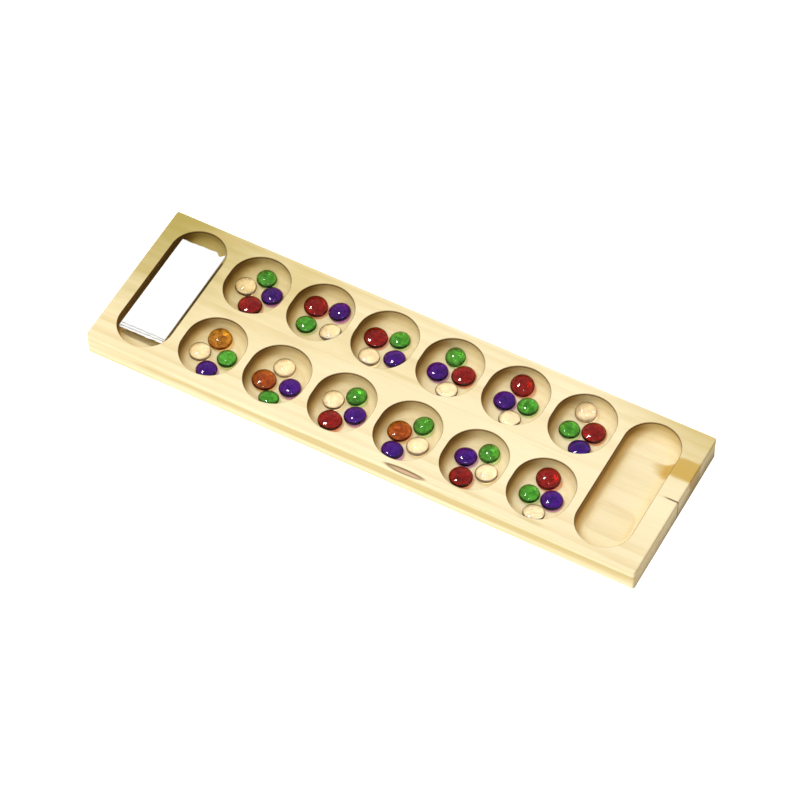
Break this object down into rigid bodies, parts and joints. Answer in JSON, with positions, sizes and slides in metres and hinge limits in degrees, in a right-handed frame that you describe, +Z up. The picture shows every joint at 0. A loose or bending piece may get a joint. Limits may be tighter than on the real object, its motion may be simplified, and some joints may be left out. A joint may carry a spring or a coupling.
{
  "type": "mancala board",
  "caption": "Oblong pine game board with two rows of dished pits, a long store at each end, loose domed glass stones and a folded leaflet.",
  "frame": {"origin": "middle of the board's underside, on the surface it rests on", "axes": "+X along the board to the right, +Y from front to back, +Z up"},
  "size_m": [0.432, 0.129, 0.02],
  "materials": {
    "pine_back": "bare sanded pine, a little tanner",
    "pine_front": "bare sanded pine, pale",
    "paper": "uncoated printer's paper, blank",
    "glass_red": "transparent glass",
    "glass_violet": "transparent glass",
    "glass_clear": "transparent glass",
    "glass_green": "transparent glass"
  },
  "bodies": {
    "board": {"back_stave": "pine_back", "front_stave": "pine_front"},
    "leaflet": {"rules_leaflet": "paper"},
    "stone_back_1_green": {"stone_back_1_green": "glass_green"},
    "stone_back_1_clear": {"stone_back_1_clear": "glass_clear"},
    "stone_back_1_red": {"stone_back_1_red": "glass_red"},
    "stone_back_1_violet": {"stone_back_1_violet": "glass_violet"},
    "stone_back_2_violet": {"stone_back_2_violet": "glass_violet"},
    "stone_back_2_red": {"stone_back_2_red": "glass_red"},
    "stone_back_2_green": {"stone_back_2_green": "glass_green"},
    "stone_back_2_clear": {"stone_back_2_clear": "glass_clear"},
    "stone_back_3_green": {"stone_back_3_green": "glass_green"},
    "stone_back_3_red": {"stone_back_3_red": "glass_red"},
    "stone_back_3_clear": {"stone_back_3_clear": "glass_clear"},
    "stone_back_3_violet": {"stone_back_3_violet": "glass_violet"},
    "stone_back_4_green": {"stone_back_4_green": "glass_green"},
    "stone_back_4_violet": {"stone_back_4_violet": "glass_violet"},
    "stone_back_4_clear": {"stone_back_4_clear": "glass_clear"},
    "stone_back_4_red": {"stone_back_4_red": "glass_red"},
    "stone_back_5_red": {"stone_back_5_red": "glass_red"},
    "stone_back_5_violet": {"stone_back_5_violet": "glass_violet"},
    "stone_back_5_clear": {"stone_back_5_clear": "glass_clear"},
    "stone_back_5_green": {"stone_back_5_green": "glass_green"},
    "stone_back_6_clear": {"stone_back_6_clear": "glass_clear"},
    "stone_back_6_green": {"stone_back_6_green": "glass_green"},
    "stone_back_6_violet": {"stone_back_6_violet": "glass_violet"},
    "stone_back_6_red": {"stone_back_6_red": "glass_red"},
    "stone_front_1_red": {"stone_front_1_red": "glass_red"},
    "stone_front_1_clear": {"stone_front_1_clear": "glass_clear"},
    "stone_front_1_violet": {"stone_front_1_violet": "glass_violet"},
    "stone_front_1_green": {"stone_front_1_green": "glass_green"},
    "stone_front_2_clear": {"stone_front_2_clear": "glass_clear"},
    "stone_front_2_red": {"stone_front_2_red": "glass_red"},
    "stone_front_2_green": {"stone_front_2_green": "glass_green"},
    "stone_front_2_violet": {"stone_front_2_violet": "glass_violet"},
    "stone_front_3_green": {"stone_front_3_green": "glass_green"},
    "stone_front_3_clear": {"stone_front_3_clear": "glass_clear"},
    "stone_front_3_red": {"stone_front_3_red": "glass_red"},
    "stone_front_3_violet": {"stone_front_3_violet": "glass_violet"},
    "stone_front_4_green": {"stone_front_4_green": "glass_green"},
    "stone_front_4_red": {"stone_front_4_red": "glass_red"},
    "stone_front_4_violet": {"stone_front_4_violet": "glass_violet"},
    "stone_front_4_clear": {"stone_front_4_clear": "glass_clear"},
    "stone_front_5_green": {"stone_front_5_green": "glass_green"},
    "stone_front_5_violet": {"stone_front_5_violet": "glass_violet"},
    "stone_front_5_red": {"stone_front_5_red": "glass_red"},
    "stone_front_5_clear": {"stone_front_5_clear": "glass_clear"},
    "stone_front_6_red": {"stone_front_6_red": "glass_red"},
    "stone_front_6_green": {"stone_front_6_green": "glass_green"},
    "stone_front_6_clear": {"stone_front_6_clear": "glass_clear"},
    "stone_front_6_violet": {"stone_front_6_violet": "glass_violet"}
  },
  "joints": [
    {"name": "leaflet_lift", "type": "slide", "parent": "board", "child": "leaflet", "axis": [0, 0, 1], "range_m": [0, 0.03]},
    {"name": "stone_back_1_green_lift", "type": "slide", "parent": "board", "child": "stone_back_1_green", "axis": [0, 0, 1], "range_m": [0, 0.03]},
    {"name": "stone_back_1_clear_lift", "type": "slide", "parent": "board", "child": "stone_back_1_clear", "axis": [0, 0, 1], "range_m": [0, 0.03]},
    {"name": "stone_back_1_red_lift", "type": "slide", "parent": "board", "child": "stone_back_1_red", "axis": [0, 0, 1], "range_m": [0, 0.03]},
    {"name": "stone_back_1_violet_lift", "type": "slide", "parent": "board", "child": "stone_back_1_violet", "axis": [0, 0, 1], "range_m": [0, 0.03]},
    {"name": "stone_back_2_violet_lift", "type": "slide", "parent": "board", "child": "stone_back_2_violet", "axis": [0, 0, 1], "range_m": [0, 0.03]},
    {"name": "stone_back_2_red_lift", "type": "slide", "parent": "board", "child": "stone_back_2_red", "axis": [0, 0, 1], "range_m": [0, 0.03]},
    {"name": "stone_back_2_green_lift", "type": "slide", "parent": "board", "child": "stone_back_2_green", "axis": [0, 0, 1], "range_m": [0, 0.03]},
    {"name": "stone_back_2_clear_lift", "type": "slide", "parent": "board", "child": "stone_back_2_clear", "axis": [0, 0, 1], "range_m": [0, 0.03]},
    {"name": "stone_back_3_green_lift", "type": "slide", "parent": "board", "child": "stone_back_3_green", "axis": [0, 0, 1], "range_m": [0, 0.03]},
    {"name": "stone_back_3_red_lift", "type": "slide", "parent": "board", "child": "stone_back_3_red", "axis": [0, 0, 1], "range_m": [0, 0.03]},
    {"name": "stone_back_3_clear_lift", "type": "slide", "parent": "board", "child": "stone_back_3_clear", "axis": [0, 0, 1], "range_m": [0, 0.03]},
    {"name": "stone_back_3_violet_lift", "type": "slide", "parent": "board", "child": "stone_back_3_violet", "axis": [0, 0, 1], "range_m": [0, 0.03]},
    {"name": "stone_back_4_green_lift", "type": "slide", "parent": "board", "child": "stone_back_4_green", "axis": [0, 0, 1], "range_m": [0, 0.03]},
    {"name": "stone_back_4_violet_lift", "type": "slide", "parent": "board", "child": "stone_back_4_violet", "axis": [0, 0, 1], "range_m": [0, 0.03]},
    {"name": "stone_back_4_clear_lift", "type": "slide", "parent": "board", "child": "stone_back_4_clear", "axis": [0, 0, 1], "range_m": [0, 0.03]},
    {"name": "stone_back_4_red_lift", "type": "slide", "parent": "board", "child": "stone_back_4_red", "axis": [0, 0, 1], "range_m": [0, 0.03]},
    {"name": "stone_back_5_red_lift", "type": "slide", "parent": "board", "child": "stone_back_5_red", "axis": [0, 0, 1], "range_m": [0, 0.03]},
    {"name": "stone_back_5_violet_lift", "type": "slide", "parent": "board", "child": "stone_back_5_violet", "axis": [0, 0, 1], "range_m": [0, 0.03]},
    {"name": "stone_back_5_clear_lift", "type": "slide", "parent": "board", "child": "stone_back_5_clear", "axis": [0, 0, 1], "range_m": [0, 0.03]},
    {"name": "stone_back_5_green_lift", "type": "slide", "parent": "board", "child": "stone_back_5_green", "axis": [0, 0, 1], "range_m": [0, 0.03]},
    {"name": "stone_back_6_clear_lift", "type": "slide", "parent": "board", "child": "stone_back_6_clear", "axis": [0, 0, 1], "range_m": [0, 0.03]},
    {"name": "stone_back_6_green_lift", "type": "slide", "parent": "board", "child": "stone_back_6_green", "axis": [0, 0, 1], "range_m": [0, 0.03]},
    {"name": "stone_back_6_violet_lift", "type": "slide", "parent": "board", "child": "stone_back_6_violet", "axis": [0, 0, 1], "range_m": [0, 0.03]},
    {"name": "stone_back_6_red_lift", "type": "slide", "parent": "board", "child": "stone_back_6_red", "axis": [0, 0, 1], "range_m": [0, 0.03]},
    {"name": "stone_front_1_red_lift", "type": "slide", "parent": "board", "child": "stone_front_1_red", "axis": [0, 0, 1], "range_m": [0, 0.03]},
    {"name": "stone_front_1_clear_lift", "type": "slide", "parent": "board", "child": "stone_front_1_clear", "axis": [0, 0, 1], "range_m": [0, 0.03]},
    {"name": "stone_front_1_violet_lift", "type": "slide", "parent": "board", "child": "stone_front_1_violet", "axis": [0, 0, 1], "range_m": [0, 0.03]},
    {"name": "stone_front_1_green_lift", "type": "slide", "parent": "board", "child": "stone_front_1_green", "axis": [0, 0, 1], "range_m": [0, 0.03]},
    {"name": "stone_front_2_clear_lift", "type": "slide", "parent": "board", "child": "stone_front_2_clear", "axis": [0, 0, 1], "range_m": [0, 0.03]},
    {"name": "stone_front_2_red_lift", "type": "slide", "parent": "board", "child": "stone_front_2_red", "axis": [0, 0, 1], "range_m": [0, 0.03]},
    {"name": "stone_front_2_green_lift", "type": "slide", "parent": "board", "child": "stone_front_2_green", "axis": [0, 0, 1], "range_m": [0, 0.03]},
    {"name": "stone_front_2_violet_lift", "type": "slide", "parent": "board", "child": "stone_front_2_violet", "axis": [0, 0, 1], "range_m": [0, 0.03]},
    {"name": "stone_front_3_green_lift", "type": "slide", "parent": "board", "child": "stone_front_3_green", "axis": [0, 0, 1], "range_m": [0, 0.03]},
    {"name": "stone_front_3_clear_lift", "type": "slide", "parent": "board", "child": "stone_front_3_clear", "axis": [0, 0, 1], "range_m": [0, 0.03]},
    {"name": "stone_front_3_red_lift", "type": "slide", "parent": "board", "child": "stone_front_3_red", "axis": [0, 0, 1], "range_m": [0, 0.03]},
    {"name": "stone_front_3_violet_lift", "type": "slide", "parent": "board", "child": "stone_front_3_violet", "axis": [0, 0, 1], "range_m": [0, 0.03]},
    {"name": "stone_front_4_green_lift", "type": "slide", "parent": "board", "child": "stone_front_4_green", "axis": [0, 0, 1], "range_m": [0, 0.03]},
    {"name": "stone_front_4_red_lift", "type": "slide", "parent": "board", "child": "stone_front_4_red", "axis": [0, 0, 1], "range_m": [0, 0.03]},
    {"name": "stone_front_4_violet_lift", "type": "slide", "parent": "board", "child": "stone_front_4_violet", "axis": [0, 0, 1], "range_m": [0, 0.03]},
    {"name": "stone_front_4_clear_lift", "type": "slide", "parent": "board", "child": "stone_front_4_clear", "axis": [0, 0, 1], "range_m": [0, 0.03]},
    {"name": "stone_front_5_green_lift", "type": "slide", "parent": "board", "child": "stone_front_5_green", "axis": [0, 0, 1], "range_m": [0, 0.03]},
    {"name": "stone_front_5_violet_lift", "type": "slide", "parent": "board", "child": "stone_front_5_violet", "axis": [0, 0, 1], "range_m": [0, 0.03]},
    {"name": "stone_front_5_red_lift", "type": "slide", "parent": "board", "child": "stone_front_5_red", "axis": [0, 0, 1], "range_m": [0, 0.03]},
    {"name": "stone_front_5_clear_lift", "type": "slide", "parent": "board", "child": "stone_front_5_clear", "axis": [0, 0, 1], "range_m": [0, 0.03]},
    {"name": "stone_front_6_red_lift", "type": "slide", "parent": "board", "child": "stone_front_6_red", "axis": [0, 0, 1], "range_m": [0, 0.03]},
    {"name": "stone_front_6_green_lift", "type": "slide", "parent": "board", "child": "stone_front_6_green", "axis": [0, 0, 1], "range_m": [0, 0.03]},
    {"name": "stone_front_6_clear_lift", "type": "slide", "parent": "board", "child": "stone_front_6_clear", "axis": [0, 0, 1], "range_m": [0, 0.03]},
    {"name": "stone_front_6_violet_lift", "type": "slide", "parent": "board", "child": "stone_front_6_violet", "axis": [0, 0, 1], "range_m": [0, 0.03]}
  ]
}
